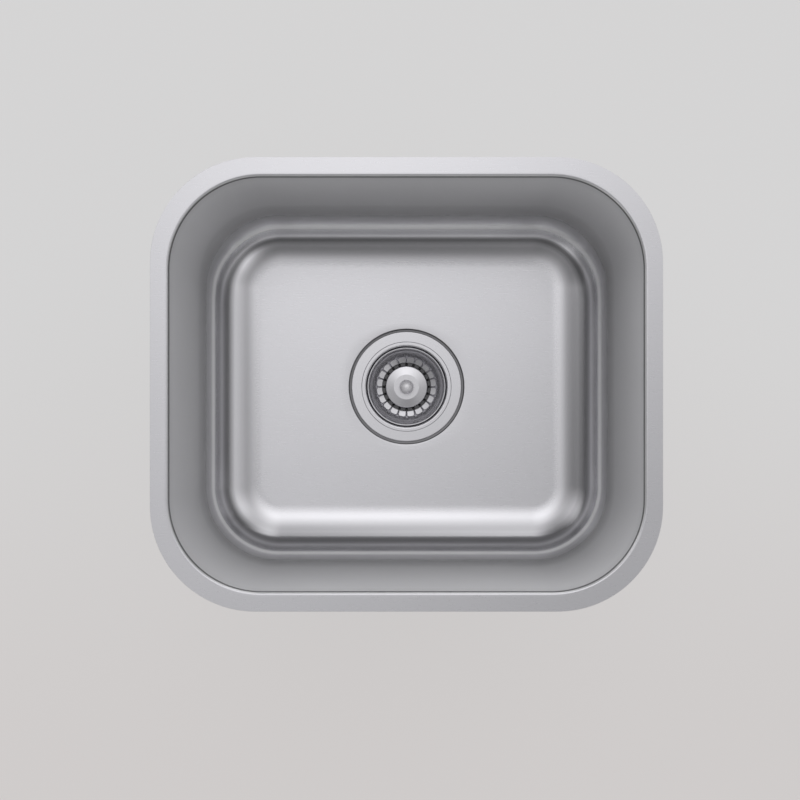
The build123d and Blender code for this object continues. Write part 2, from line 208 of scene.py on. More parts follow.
def make_bowl(material):
    """The pressing: its wetted side from the drain hole out to the flange, and its back one sheet behind."""
    lean = math.degrees(DRAFT)
    bend = math.tan((math.pi / 2 - DRAFT) / 2)
    foot = DEPTH * math.tan(DRAFT)
    floor_inset = foot + FLOOR_RADIUS * bend
    roll_out = RIM_ROLL * bend
    lip_x = FLANGE_HALF_X - OPENING_HALF_X
    lip_y = FLANGE_HALF_Y - OPENING_HALF_Y

    def opening_ring(inset, height):
        """A ring at the same inset from the opening's edge all round."""
        return rounded_ring(OPENING_HALF_X - inset, OPENING_HALF_Y - inset, OPENING_CORNER - inset, height)

    def inset_ring(inset, height):
        """An opening ring, which outside the rim's roll widens to the flange's own corners."""
        if inset >= -roll_out:
            return opening_ring(inset, height)
        share = (-inset - roll_out) / (lip_x - roll_out)
        widen_y = roll_out + (lip_y - roll_out) * share
        corner = OPENING_CORNER + roll_out + (FLANGE_CORNER - OPENING_CORNER - roll_out) * share
        return rounded_ring(OPENING_HALF_X - inset, OPENING_HALF_Y + widen_y, corner, height)

    def section(back):
        """One side of the sheet as (inset, height), from the flange's edge to the flat of the floor."""
        roll = arc((-roll_out, -RIM_ROLL), RIM_ROLL - back, 90, lean, 14)
        fillet = arc((floor_inset, FLOOR_RADIUS - DEPTH), FLOOR_RADIUS + back, 180 + lean, 270, 60)
        middle, end = (SHEET - EDGE_ROUND, 270) if back else (EDGE_ROUND, 90)
        lip = arc((-lip_x + EDGE_ROUND, -middle), EDGE_ROUND, 180, end, 5)
        flange = lip + run((-lip_x + 3 * EDGE_ROUND, -back), (-roll_out, -back), 8)[:-1]
        wall = run(roll[-1], fillet[0], 24)[1:-1]
        return flange + roll + wall + fillet

    flat = opening_ring(floor_inset, 0)
    directions = [math.atan2(y, x) for x, y, _ in flat]

    def drain_ring(radius, height):
        return [(radius * math.cos(a), radius * math.sin(a), height) for a in directions]

    def floor_rings(radius, height):
        """Rings from the floor's flat edge in to a circle round the drain."""
        circle = drain_ring(radius, height)
        return [
            [(x + (u - x) * t, y + (v - y) * t, height) for (x, y, _), (u, v, _) in zip(flat, circle)]
            for t in np.linspace(0, 1, 11)[1:]
        ]

    wetted = [inset_ring(*point) for point in section(0)]
    wetted += floor_rings(RECESS_R + RECESS_EDGE, -DEPTH)
    foot_bend, back_bend, hole_edge = 0.5, 0.6, 0.15
    recess_floor = -DEPTH - RECESS_DEPTH
    recess = arc((RECESS_R + RECESS_EDGE, -DEPTH - RECESS_EDGE), RECESS_EDGE, 90, 180, 8)[1:]
    recess += arc((RECESS_R - foot_bend, recess_floor + foot_bend), foot_bend, 0, -90, 5)
    recess += run((RECESS_R - foot_bend, recess_floor), (HOLE_R + hole_edge, recess_floor), 4)[1:]
    under = recess_floor - SHEET
    back_edge = RECESS_R + SHEET + foot_bend
    back_recess = [(HOLE_R, recess_floor - hole_edge), (HOLE_R, under + hole_edge)]
    back_recess += [(HOLE_R + hole_edge, under)]
    back_recess += arc((RECESS_R + SHEET - back_bend, under + back_bend), back_bend, 270, 360, 6)
    back_recess += arc((back_edge, -DEPTH - SHEET - foot_bend), foot_bend, 180, 90, 5)
    wetted += [drain_ring(*point) for point in recess]
    behind = [inset_ring(*point) for point in section(SHEET)] + floor_rings(back_edge, -DEPTH - SHEET)
    rings = wetted + [drain_ring(*point) for point in back_recess] + behind[::-1]
    points = [point for ring in rings for point in ring]
    faces = ring_faces(len(rings), len(flat), closed=True)
    return add_piece("sink_bowl", points, faces, material, "sink", "bowl")


# Drain: the strainer body, and the basket that stands in it

FLUTES = 20
HALF_STEPS = 12
SECTOR_STEPS = 2 * HALF_STEPS
SECTOR = 2 * math.pi / FLUTES
NECK_R = 23.4
POST_R = 3
POST_BORE_R = 3.06
THREAD_PITCH = 1.6
THREAD_DEPTH = 0.55
TROUGH_FLOOR = -33
TROUGH_INNER_R = 21.5
TROUGH_OUTER_R = 24.9
FLUTE_FOOT = -31.2


def thread(crest, bottom, top, pitch, depth):
    """A relief that cuts a helical thread into a turned surface at this crest radius, between two heights."""
    def relief(radius, height, angles):
        if abs(radius - crest) > 0.01 or not bottom <= height <= top:
            return 0 * angles
        turn = (height / pitch - angles / (2 * math.pi)) % 1
        runout = min(1, (height - bottom) / pitch, (top - height) / pitch)
        return -depth * runout * (0.5 - 0.5 * np.cos(2 * math.pi * turn)) ** 1.5
    return relief


def make_strainer_body(material):
    """The pressed cup with its flange, ledge, seat and threaded neck."""
    inside = [
        (55, -1.2, 0.15), (55, 0, 0.9), (44.9, 0, 0.12), (44.5, -0.4, 0.12), (40.3, -0.4, 1.5),
        (40.3, -20, 2), (36.5, -24, 3), (34.5, -42, 4), (20, -42, 1), (20, -60, 0.25),
    ]
    neck = [(NECK_R, -60, 0.25)] + [(NECK_R, height, 0) for height in np.arange(-59.4, -46.3, 0.2)]
    outside = [
        (NECK_R, -46, 0.3), (21.6, -43.2, 0.8), (35.574, -43.2, 5.2), (37.648, -24.534, 1.8),
        (41.5, -20.479, 3.2), (41.5, -1.6, 0.3), (44.997, -1.6, 0.12), (45.397, -1.2, 0.12),
    ]
    section = bent(inside + neck + outside)
    points, faces = turned(section, 240, relief=thread(NECK_R, -59.8, -46.4, THREAD_PITCH, THREAD_DEPTH))
    return add_piece("drain_cup", points, faces, material, "sink", "strainer_body")


def eased(corners, spans):
    """A section from corners (radius, height, reach), eased over each reach, with set steps in each span."""
    points = [corners[0][:2]]
    for number, steps in enumerate(spans):
        corner = np.array(corners[number + 1], float)
        start = np.array(points[-1])
        reach = corner[2] * (corner[:2] - start) / math.dist(corner[:2], start)
        points += run(start, corner[:2] - reach, steps)[1:]
        if corner[2] > 0:
            onward = np.array(corners[number + 2][:2], float)
            leave = corner[:2] + corner[2] * (onward - corner[:2]) / math.dist(onward, corner[:2])
            enter = corner[:2] - reach
            for t in (0.25, 0.5, 0.75, 1):
                points.append(tuple((1 - t) ** 2 * enter + 2 * t * (1 - t) * corner[:2] + t ** 2 * leave))
    return points


def make_basket(material):
    """The strainer basket: a cup of thin sheet with a trough of drain holes, flutes and a rolled rim."""
    sheet = 0.7
    floor = -31.5
    hole_circle, hole_r, hole_cells = 23.1, 1.25, 5
    cells = 2 * hole_cells
    hole_land = (21.9, 24.5)
    trough_bend = 0.4
    knee, top_bend = (31, -24), (34.7, -12)
    above_knee = knee[0] + 1.2
    flute_step = 0.15
    flute_end, flute_corner, ridge_half = 30.8, 2.8, 0.4
    rise = math.tan(math.radians(17.5))
    steep = (knee[1] - FLUTE_FOOT) / (knee[0] - TROUGH_OUTER_R)
    upright = (top_bend[1] - knee[1]) / (top_bend[0] - knee[0])

    # From a ridge's middle to a flute's middle: distances from the ridge, the share of the flute's depth
    # there, and beyond the last distance the share of the way to the flute's middle
    shoulders = (0, 0.26, 0.43, 0.54, 0.66, 0.95)
    sunk = np.array(list((0, 0.01, 0.07, 0.5, 0.93, 1)) + [1] * (HALF_STEPS - 5))
    beside = np.array(list(shoulders) + [shoulders[-1]] * (HALF_STEPS - 5))
    onward = np.concatenate([np.zeros(5), np.linspace(0, 1, HALF_STEPS - 4)])
    even = np.linspace(0, SECTOR / 2, HALF_STEPS + 1)

    def round_ring(radii, heights, lined_up):
        """A ring from one half flute's radii and heights, its columns even or lined up with the ridges."""
        angles = beside / radii + (SECTOR / 2 - beside / radii) * onward
        angles = angles * lined_up + even * (1 - lined_up)
        step = np.arange(SECTOR_STEPS)
        column = np.minimum(step, SECTOR_STEPS - step)
        around = np.where(step <= HALF_STEPS, angles[column], SECTOR - angles[column])
        points = []
        for flute in range(FLUTES):
            turn = around + flute * SECTOR
            points += zip(radii[column] * np.cos(turn), radii[column] * np.sin(turn), heights[column] - DEPTH)
        return points

    def plain_rings(section):
        return [round_ring(np.full(HALF_STEPS + 1, r), np.full(HALF_STEPS + 1, h), 0) for r, h in section]

    def wall_height(radius, behind):
        """The height of the basket's sloping foot at a radius, or of its back."""
        low = FLUTE_FOOT + (radius - TROUGH_OUTER_R) * steep - behind * math.hypot(1, steep)
        high = knee[1] + (radius - knee[0]) * upright - behind * math.hypot(1, upright)
        return np.maximum(low, high)

    def flute_rings(behind):
        """Rings over the flutes, from the trough's edge out to the wall above the knee."""
        across = 29 * (beside / 29 + (SECTOR / 2 - beside / 29) * onward)
        corner_r = flute_corner + behind
        inward = np.clip(flute_corner + ridge_half - across, 0, corner_r)
        ends = flute_end - flute_corner + np.sqrt(corner_r ** 2 - inward ** 2)
        edge_r = TROUGH_OUTER_R + behind
        foot = FLUTE_FOOT - behind * math.hypot(1, rise)
        columns = []
        for end in ends:
            lip = wall_height(end + flute_step, behind)
            last = above_knee + behind
            columns.append(eased([
                (edge_r, foot - 0.7, 0),
                (edge_r, foot + behind * rise, 0.25),
                (end, foot + (end - TROUGH_OUTER_R) * rise, 0.6),
                (end + flute_step, lip, 0.3),
                (last, wall_height(last, behind), 0),
            ], (1, 8, 3, 3)))
        radii, heights = np.array(columns).transpose(2, 1, 0)
        heights[-3:] = wall_height(radii[-3:], behind)
        if behind:
            groove = 0.3 * np.clip(1 - beside / shoulders[2], 0, 1)
            lower = heights < wall_height(ends + flute_step, behind) - 0.5
            heights = heights + groove * lower * (heights > foot - 0.1)
        else:
            ridges = np.maximum(heights, wall_height(radii, 0))
            heights = ridges + (heights - ridges) * sunk
        return [round_ring(r, h, 1) for r, h in zip(radii, heights)]

    land = run((hole_land[0], TROUGH_FLOOR), (hole_land[1], TROUGH_FLOOR), cells)
    bend_height = TROUGH_FLOOR + trough_bend
    inner = run((POST_BORE_R, floor), (20.6, floor), 8)
    inner += arc((20.7, floor - 0.8), 0.8, 90, 0, 6)[1:]
    inner += arc((hole_land[0], bend_height), trough_bend, 180, 270, 4)[:-1]
    first_upper = len(inner)
    inner += land + arc((hole_land[1], bend_height), trough_bend, -90, 0, 4)[1:]
    wall = bent([
        (above_knee, wall_height(above_knee, 0), 0), (*top_bend, 1.5), (36.4, -10, 1.5), (37.32, -5.85, 0),
    ])
    wall = [point for first, second in zip(wall, wall[1:]) for point in run(first, second, 2)[1:]]
    slopes = np.gradient(np.array(wall), axis=0)
    slopes /= np.linalg.norm(slopes, axis=1)[:, None]
    wall_back = [(r + sheet * slope[1], h - sheet * slope[0]) for (r, h), slope in zip(wall, slopes)]
    low_land = [(r, TROUGH_FLOOR - sheet) for r, _ in land]
    outer = run((POST_BORE_R, floor - sheet), (20.6, floor - sheet), 8)
    outer += [(20.8, floor - sheet - 0.2)]
    outer += arc((hole_land[0], bend_height), trough_bend + sheet, 180, 270, 6)[:-1]
    outer += low_land + arc((hole_land[1], bend_height), trough_bend + sheet, -90, 0, 6)[1:]

    rolled_rim = arc((38.6, -5), 1.1, 190, -123, 26)
    rings = plain_rings(inner) + flute_rings(0) + plain_rings(wall) + plain_rings(rolled_rim)
    rings += plain_rings(wall_back)[::-1] + flute_rings(sheet)[::-1] + plain_rings(outer)[::-1]
    points = [point for ring in rings for point in ring]
    around = FLUTES * SECTOR_STEPS
    first_lower = len(rings) - 1 - outer.index(low_land[-1])
    faces = []
    for number, face in enumerate(ring_faces(len(rings), around, closed=True)):
        ring, step = divmod(number, around)
        beside_hole = (step + hole_cells) % SECTOR_STEPS < cells
        on_land = any(first <= ring < first + cells for first in (first_upper, first_lower))
        if not (beside_hole and on_land):
            faces.append(face)

    for hole in range(FLUTES):
        centre = hole * SECTOR_STEPS
        middle_x, middle_y = hole_circle * math.cos(hole * SECTOR), hole_circle * math.sin(hole * SECTOR)
        loops, edges = [], []
        for first, height in ((first_upper, TROUGH_FLOOR), (first_lower, TROUGH_FLOOR - sheet)):
            box = [(first + cells, centre + k) for k in range(-hole_cells, hole_cells)]
            box += [(first + cells - k, centre + hole_cells) for k in range(cells)]
            box += [(first, centre + hole_cells - k) for k in range(cells)]
            box += [(first + k, centre - hole_cells) for k in range(cells)]
            loop = [ring * around + step % around for ring, step in box]
            edge = []
            for corner in loop:
                heading = math.atan2(points[corner][1] - middle_y, points[corner][0] - middle_x)
                edge.append(len(points))
                points.append((
                    middle_x + hole_r * math.cos(heading),
                    middle_y + hole_r * math.sin(heading),
                    height - DEPTH,
                ))
            loops.append(loop)
            edges.append(edge)
        (upper_loop, lower_loop), (upper_edge, lower_edge) = loops, edges
        mates = []
        for top in upper_edge:
            mates.append(min(lower_edge, key=lambda low: math.dist(points[low][:2], points[top][:2])))
        for k in range(len(upper_loop)):
            after = (k + 1) % len(upper_loop)
            faces.append((upper_loop[after], upper_loop[k], upper_edge[k], upper_edge[after]))
            faces.append((lower_loop[after], lower_loop[k], lower_edge[k], lower_edge[after]))
            faces.append((upper_edge[after], upper_edge[k], mates[k], mates[after]))
    return add_piece("fluted_basket", points, faces, material, "basket", "basket")


def make_turned_parts(finishes):
    """The turned pieces of the drain, each from its own section of (radius, height, bend)."""
    tail_r, tail_bore = 19.05, 18.1
    sections = {
        "dome_cap": ("basket", "basket_steel", 160, [
            (POST_BORE_R, -28.9, 0.1), (12.8, -28.9, 1), (21, -30.6, 0.45), (21, -31.5, 0.1),
            (20.2, -31.5, 0.1), (20.2, -31.235, 0.1), (12.7, -29.7, 1.2), (POST_BORE_R, -29.7, 0.1),
        ]),
        "bush": ("basket", "bush_metal", 72, [
            (POST_BORE_R, -32.2, 0.1), (5, -32.2, 0.15), (5, -36, 0.3), (10, -36, 0.3), (10, -37, 0.3),
            (5, -37, 0.05), (5, -41.2, 0.15), (POST_BORE_R, -41.2, 0.1),
        ]),
        "backing_washer": ("basket", "plain_steel", 72, [
            (POST_BORE_R, -41.2, 0.1), (12, -41.2, 0.3), (12, -42.2, 0.15), (POST_BORE_R, -42.2, 0.1),
        ]),
        "stopper": ("stopper", "stopper_rubber", 144, [
            (5.1, -41.1, 0.15), (5.1, -37.1, 0.3), (15, -37.1, 2), (23, -39.8, 0.8), (23, -42, 0.2),
            (21, -42, 0.2), (15, -41.1, 1),
        ]),
        "post_grip": ("sink", "grip_plastic", 48, [
            (3.1, -49, 0.25), (5.5, -49, 0.3), (5.5, -50, 0.1), (4.6, -50, 0.05), (4.6, -54, 0.4),
            (3.1, -54, 0.3),
        ]),
        "flange_seal": ("sink", "putty", 160, [
            (45.6, -1.2, 0.3), (54, -1.2, 0.3), (54, -2.2, 0.3), (45.6, -2.2, 0.3),
        ]),
        "drain_gasket": ("sink", "gasket_rubber", 160, [
            (41.7, -3.4, 0.4), (57, -3.4, 0.6), (57, -6.4, 0.8), (41.7, -6.4, 0.4),
        ]),
        "friction_washer": ("sink", "fibre", 160, [
            (41.9, -6.4, 0.15), (56, -6.4, 0.2), (56, -7.6, 0.2), (41.9, -7.6, 0.15),
        ]),
        "outlet_washer": ("sink", "washer_plastic", 96, [
            (19.2, -60, 0.3), (23, -60, 0.5), (23, -62, 0.5), (19.2, -62, 0.3),
        ]),
        "tailpiece": ("sink", "plated_brass", 144, [
            (tail_bore, -62, 0.3), (22.8, -62, 0.3), (22.8, -63, 0.3), (tail_r, -63, 0.3),
            (tail_r, -160, 0.3), (tail_bore, -160, 0.3),
        ]),
    }
    for node, (body, slot, around, corners) in sections.items():
        points, faces = turned(bent(corners), around)
        add_piece(f"turned_{node}", points, faces, finishes[slot], body, node)


def make_knob(material):
    """The ball knob on its waisted neck, open below for the post."""
    ball_r, ball_height, neck_r = 7, -19, 4.2
    neck_top = ball_height - math.sqrt(ball_r ** 2 - neck_r ** 2)
    ball_start = math.degrees(math.atan2(neck_top + 0.75 - ball_height, 4.75))
    collar = [(POST_BORE_R, -28.9, 0.1), (5, -28.9, 0.15), (5, -28.1, 0.25), (neck_r, -28.1, 0.3)]
    section = [(0, -17), (POST_BORE_R, -17)] + bent(collar)
    section += [(neck_r, -27), (neck_r, -25.9), (4.26, -25.45), (4.42, -25.05)]
    section += arc((0, ball_height), ball_r, ball_start, 90, 40)[:-1] + [(0, ball_height + ball_r)]
    points, faces = turned(section, 128, closed=False)
    return add_piece("ball_knob", points, faces, material, "basket", "knob")


def make_post(material):
    """The centre post: threaded for its nut, grooved twice for the grip, tapered at its end."""
    groove_r = 0.4
    section = [(0, -17), (2.9, -17), (POST_R, -17.1), (POST_R, -40)]
    section += [(POST_R, height) for height in np.arange(-42.2, -47.6, -0.1)]
    section += [(POST_R, -48)]
    for groove in (-51.5, -59.5):
        section += [(POST_R, groove + 0.75), (2.94, groove + 0.55)]
        section += arc((POST_R, groove), groove_r, 100, 260, 8)
        section += [(2.94, groove - 0.55), (POST_R, groove - 0.75)]
    section += [(POST_R, -61.8), (2.95, -62.1), (1.68, -64.75), (1.45, -65), (0, -65)]
    points, faces = turned(section, 64, closed=False, relief=thread(POST_R, -47.6, -42, 0.8, 0.3))
    return add_piece("threaded_post", points, faces, material, "basket", "post")


def make_nut(
    name, node, body, material, across_flats, bore, top, bottom, chamfer_top, chamfer_low, lip=None,
):
    """A hexagon nut with chamfered corners, and a round collar below it where it has a lip."""
    flat_r = across_flats / 2
    corner = flat_r / math.cos(math.pi / 6)
    chamfer_r, chamfer_slope = 0.985 * flat_r, 1.8

    def crown(height):
        """The reach that the chamfers leave at this height, up to the full corner."""
        depths = [top - height] * chamfer_top + [height - bottom] * chamfer_low
        return min([corner] + [chamfer_r + depth * chamfer_slope for depth in depths])

    def relief(radius, height, angles):
        """The flats, cut off by the cone that chamfers their corners."""
        if radius <= flat_r - 0.01:
            return 0 * angles
        from_middle = angles % (math.pi / 3) - math.pi / 6
        return np.minimum(flat_r / np.cos(from_middle), crown(height)) - radius

    edge = 0.16 * (top - bottom)
    heights = np.unique(np.concatenate([
        np.linspace(top, top - edge, 8),
        np.linspace(top - edge, bottom + edge, 6),
        np.linspace(bottom + edge, bottom, 8),
    ]))[::-1]
    section = [(bore + 0.3, top), (flat_r - 0.6, top)] + [(flat_r, h) for h in heights]
    if lip:
        lip_r, lip_bottom, lip_bore, ledge = lip
        section += bent([
            (flat_r - 0.5, bottom, 0), (lip_r, bottom, 0), (lip_r, lip_bottom, 0.5),
            (lip_bore, lip_bottom, 0.3), (lip_bore, ledge, 0.2), (bore, ledge, 0),
        ])
    else:
        section += [(flat_r - 0.3 * bore, bottom), (bore + 0.3, bottom), (bore, bottom + 0.3)]
    section += [(bore, top - 0.3)]
    points, faces = turned(section, 192, relief=relief)
    return add_piece(name, points, faces, material, body, node)


def make_locknut(material):
    """The cast locknut: a thin flange over a threaded hub with six lugs."""
    lug_half, lug_end, lug_bend = 4.5, 59.5, 1.5

    def outline(hub, draw_in):
        """Points round the hub and its lugs, drawn in a little from the full size."""
        points = []
        hub, half, end = hub - draw_in, lug_half - draw_in, lug_end - draw_in
        gap = math.asin(half / hub)
        root = math.sqrt(hub ** 2 - half ** 2)
        for lug in range(6):
            turn = lug * math.pi / 3
            tip = [(root, -half)] + run((root + 0.3, -half), (end - lug_bend, -half), 3)
            tip += arc((end - lug_bend, lug_bend - half), lug_bend, -90, 0, 4)[1:]
            tip += run((end, lug_bend - half), (end, half - lug_bend), 3)[1:]
            tip += arc((end - lug_bend, half - lug_bend), lug_bend, 0, 90, 4)[1:]
            tip += run((end - lug_bend, half), (root + 0.3, half), 3)[1:] + [(root, half)]
            cos, sin = math.cos(turn), math.sin(turn)
            points += [(x * cos - y * sin, x * sin + y * cos) for x, y in tip]
            hub_angles = np.linspace(turn + gap, turn + math.pi / 3 - gap, 14)[1:-1]
            points += [(hub * math.cos(a), hub * math.sin(a)) for a in hub_angles]
        return points

    top = -7.6
    bore = 41.6
    hub_r, flange_r = 48, 56
    headings = [math.atan2(y, x) for x, y in outline(hub_r, 0)]

    # The outside from the top down: (radius, draw-in, drop below the top)
    layers = (
        (flange_r, 0.5, 0), (flange_r, 0.15, 0.12), (flange_r, 0, 0.45), (flange_r, 0, 1.6),
        (flange_r, 0.12, 1.88), (flange_r, 0.4, 2), (hub_r + 0.5, 0.4, 2.05), (hub_r, 0.15, 2.6),
        (hub_r, 0.15, 11.2), (hub_r, 0.4, 11.75), (hub_r, 0.9, 12),
    )
    rings = [[(x, y, top - drop - DEPTH) for x, y in outline(reach, draw)] for reach, draw, drop in layers]
    sleeve = [(bore + 0.8, top - 12), (bore, top - 11.2)]
    sleeve += [(bore, height) for height in np.arange(top - 11, top - 0.6, 0.25)]
    sleeve += [(bore, top - 0.6), (bore + 0.5, top)]
    cut = thread(bore, top - 11.6, top - 0.4, THREAD_PITCH, -0.9 * THREAD_DEPTH)
    for radius, height in sleeve:
        reach = radius + cut(radius, height, np.array(headings))
        rings.append([(r * math.cos(a), r * math.sin(a), height - DEPTH) for r, a in zip(reach, headings)])
    points = [point for ring in rings for point in ring]
    faces = ring_faces(len(rings), len(headings), closed=True)
    return add_piece("lugged_locknut", points, faces, material, "sink", "locknut")


# Camera

CAMERA_HEIGHT = 1.037
CAMERA_Y = -0.0134
FOCAL_PIXELS = 1215
SENSOR = 36
PICTURE = 800
AXIS_PIXEL = 406.5

camera_data = bpy.data.cameras.new("camera")
camera_data.sensor_width = SENSOR
camera_data.lens = FOCAL_PIXELS / PICTURE * SENSOR
camera_data.shift_x = (PICTURE / 2 - AXIS_PIXEL) / PICTURE
camera = bpy.data.objects.new("camera", camera_data)
camera.location = (0, CAMERA_Y, CAMERA_HEIGHT)
bpy.context.scene.collection.objects.link(camera)
bpy.context.scene.camera = camera


# Materials

def place(tree, kind, inputs=None, **settings):
    """A node in this tree, its inputs given as numbers, colours or other nodes' outputs."""
    node = tree.nodes.new(kind)
    for name, value in settings.items():
        setattr(node, name, value)
    for key, value in (inputs or {}).items():
        if isinstance(value, bpy.types.NodeSocket):
            tree.links.new(value, node.inputs[key])
        else:
            node.inputs[key].default_value = value
    return node


def feed(tree, node, values):
    """Links values to a node's inputs, given by name."""
    for name, value in values.items():
        tree.links.new(value, node.inputs[name])


def calc(tree, operation, *values, clamp=False):
    """The result of a Math node."""
    settings = {"operation": operation, "use_clamp": clamp}
    return place(tree, "ShaderNodeMath", dict(enumerate(values)), **settings).outputs[0]


def vector_calc(tree, operation, *values):
    """The outputs of a Vector Math node."""
    return place(tree, "ShaderNodeVectorMath", dict(enumerate(values)), operation=operation).outputs


def ramp_between(tree, value, low, high):
    """A smooth step of a value from 0 at low to 1 at high."""
    inputs = {"Value": value, "From Min": low, "From Max": high}
    return place(tree, "ShaderNodeMapRange", inputs, interpolation_type="SMOOTHSTEP").outputs[0]


def mix(tree, share, first, second):
    """A value a share of the way from the first to the second."""
    return place(tree, "ShaderNodeMix", {0: share, 2: first, 3: second}).outputs[0]


def mix_colour(tree, share, first, second, blend_type="MIX"):
    """A colour a share of the way from the first to the second, or the two multiplied."""
    inputs = {0: share, 6: first, 7: second}
    return place(tree, "ShaderNodeMix", inputs, data_type="RGBA", blend_type=blend_type).outputs[2]


def object_place(tree):
    """The point on the piece, in the piece's own frame."""
    return place(tree, "ShaderNodeTexCoord").outputs["Object"]


def separate(tree, vector):
    """The three parts of a vector."""
    return place(tree, "ShaderNodeSeparateXYZ", {0: vector}).outputs


def flat_place(tree):
    """The point seen from above, its distance along Y and its height."""
    across, along, height = separate(tree, object_place(tree))
    flat = place(tree, "ShaderNodeCombineXYZ", {0: across, 1: along, 2: 0.0}).outputs[0]
    return flat, along, height


def noise(tree, scale, detail, roughness, where=None):
    """The value of a noise over the piece, or over a place given to it."""
    inputs = {"Vector": where or object_place(tree), "Scale": scale, "Detail": detail, "Roughness": roughness}
    return place(tree, "ShaderNodeTexNoise", inputs).outputs["Fac"]


def new_effect(name, inputs, outputs):
    """An empty node group with named sockets, given as (name, kind, value) and (name, kind)."""
    group = bpy.data.node_groups.new(name, "ShaderNodeTree")
    for label, kind, value in inputs:
        socket = group.interface.new_socket(label, in_out="INPUT", socket_type=f"NodeSocket{kind}")
        socket.default_value = value
    for label, kind in outputs:
        group.interface.new_socket(label, in_out="OUTPUT", socket_type=f"NodeSocket{kind}")
    return group, place(group, "NodeGroupInput"), place(group, "NodeGroupOutput")


def make_brushed_grain():
    """Fine brush lines: noise that Lay stretches, in brush lines per metre along each axis."""
    group, given, result = new_effect(
        "brushed_grain", [("Lay", "Vector", (1, 1, 1))], [("Grain", "Float"), ("Height", "Float")],
    )
    laid = vector_calc(group, "MULTIPLY", object_place(group), given.outputs["Lay"])["Vector"]
    grain = calc(group, "SUBTRACT", noise(group, 1, 5, 0.62, laid), 0.5)
    feed(group, result, {"Grain": grain, "Height": calc(group, "ADD", grain, 0.5, clamp=True)})
    return group


def make_handling_marks():
    """The soft cloudiness that polishing and handling leave, from broad patches down to small ones."""
    group, given, result = new_effect("handling_marks", [("Size", "Float", 0.05)], [("Cloud", "Float")])
    fineness = calc(group, "DIVIDE", 1, given.outputs["Size"])
    centred = calc(group, "SUBTRACT", noise(group, fineness, 3, 0.55), 0.5)
    feed(group, result, {"Cloud": calc(group, "MULTIPLY", centred, 2)})
    return group


def make_moulded_skin():
    """The skin of rubber, putty, fibre and cast metal: two tones, a grain height and a roughness play."""
    inputs = [("Light tone", "Color", (1, 1, 1, 1)), ("Dark tone", "Color", (0, 0, 0, 1))]
    inputs += [("Grain size", "Float", 0.001)]
    outputs = [("Tone", "Color"), ("Height", "Float"), ("Play", "Float")]
    group, given, result = new_effect("moulded_skin", inputs, outputs)
    fine = noise(group, calc(group, "DIVIDE", 1, given.outputs["Grain size"]), 4, 0.6)
    broad = noise(group, 45, 3, 0.5)
    share = calc(group, "MULTIPLY_ADD", fine, 0.45, calc(group, "MULTIPLY", broad, 0.55))
    contrast = ramp_between(group, share, 0.38, 0.62)
    tone = mix_colour(group, contrast, given.outputs["Dark tone"], given.outputs["Light tone"])
    feed(group, result, {"Tone": tone, "Height": fine, "Play": calc(group, "SUBTRACT", broad, 0.5)})
    return group


brushed_grain = make_brushed_grain()
handling_marks = make_handling_marks()
moulded_skin = make_moulded_skin()


def effect(tree, group, inputs=None):
    """The outputs of an effect placed in this tree."""
    return place(tree, "ShaderNodeGroup", inputs, node_tree=group).outputs


def new_material(name, metallic, roughness):
    """A new material, its tree and its shader."""
    material = bpy.data.materials.new(name)
    material.use_nodes = True
    tree = material.node_tree
    shader = tree.nodes["Principled BSDF"]
    shader.inputs["Metallic"].default_value = metallic
    shader.inputs["Roughness"].default_value = roughness
    return material, tree, shader


def tinted(tree, colour, shade, second=None, share=0.0):
    """A colour, or a share of the way to a second one, made lighter or darker by a value about zero."""
    blend = mix_colour(tree, share, (*colour, 1), (*(second or colour), 1))
    factor = calc(tree, "ADD", shade, 1)
    grey = place(tree, "ShaderNodeCombineColor", {0: factor, 1: factor, 2: factor}).outputs[0]
    return mix_colour(tree, 1.0, blend, grey, blend_type="MULTIPLY")


def toned(tree, shade, tone):
    """A shade about zero, scaled by a tone about one."""
    return calc(tree, "SUBTRACT", calc(tree, "MULTIPLY", calc(tree, "ADD", shade, 1), tone), 1)


def add_bump(tree, shader, height, strength, distance):
    """Fine relief in the surface, its distance in metres."""
    bump = place(tree, "ShaderNodeBump", {"Height": height, "Strength": strength, "Distance": distance})
    feed(tree, shader, {"Normal": bump.outputs[0]})


BRUSH_DEPTH = 0.00001
MARK_SIZE = 0.03
SKIN_PLAY = 0.15


def satin_steel(name, colour, roughness, lay, play=0.06, shade=0.03, metallic=1.0, painted_light=None):
    """Satin steel: brush grain in its colour, roughness and surface, soft cloudiness, and any painted light
    and shade.
    """
    material, tree, shader = new_material(name, metallic, roughness)
    grain = effect(tree, brushed_grain, {"Lay": lay})
    cloud = effect(tree, handling_marks, {"Size": MARK_SIZE})["Cloud"]
    tone = calc(tree, "MULTIPLY_ADD", grain["Grain"], shade * 2, calc(tree, "MULTIPLY", cloud, shade / 2))
    # Painted light and shade from a group, where one is given
    if painted_light:
        tone = toned(tree, tone, effect(tree, painted_light)["Tone"])
    uneven = calc(tree, "MULTIPLY_ADD", grain["Grain"], play, roughness)
    uneven = calc(tree, "MULTIPLY_ADD", cloud, play / 3, uneven)
    feed(tree, shader, {"Base Color": tinted(tree, colour, tone), "Roughness": uneven})
    add_bump(tree, shader, grain["Height"], 0.25, BRUSH_DEPTH)
    return material


def moulded(name, light, dark, grain, roughness, metallic=0.0, depth=0.0001):
    """Rubber, putty, plastic, fibre or a rough casting."""
    material, tree, shader = new_material(name, metallic, roughness)
    tones = {"Light tone": (*light, 1), "Dark tone": (*dark, 1), "Grain size": grain}
    skin = effect(tree, moulded_skin, tones)
    uneven = calc(tree, "MULTIPLY_ADD", skin["Play"], SKIN_PLAY, roughness)
    feed(tree, shader, {"Base Color": skin["Tone"], "Roughness": uneven})
    add_bump(tree, shader, skin["Height"], 0.5, depth)
    return material


STEEL = (0.626, 0.621, 0.649)
MATT_STEEL = (0.622, 0.622, 0.631)
